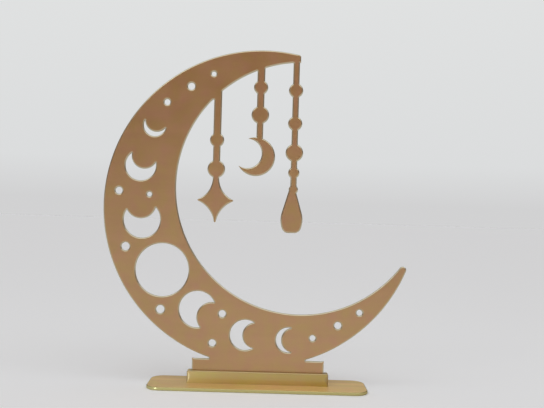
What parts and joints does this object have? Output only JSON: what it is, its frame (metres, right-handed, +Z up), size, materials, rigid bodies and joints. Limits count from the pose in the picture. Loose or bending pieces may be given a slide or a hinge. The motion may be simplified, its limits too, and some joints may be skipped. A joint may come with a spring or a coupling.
{
  "type": "crescent ornament",
  "caption": "Pierced crescent cut from gold sheet, with moon phases, dots and hanging garlands, whose foot stands in a channel between cheeks on a flat base.",
  "frame": {"origin": "middle of the base plate's underside", "axes": "+Z up, -Y the way the crescent faces, +X to the right seen from the front; the crescent opens towards +X"},
  "size_m": [0.27, 0.048, 0.2986],
  "materials": {
    "base": "gold metallic acrylic sheet, glossy",
    "cheek": "gold metallic acrylic sheet, glossy",
    "panel": "gold metallic acrylic sheet, glossy"
  },
  "bodies": {
    "stand": {"base_plate": "base", "front_cheek": "cheek", "rear_cheek": "cheek"},
    "panel": {"crescent_panel": "panel"}
  },
  "joints": [
    {"name": "panel_lift", "type": "slide", "parent": "stand", "child": "panel", "axis": [0, 0, 1], "range_m": [0, 0.03]}
  ]
}
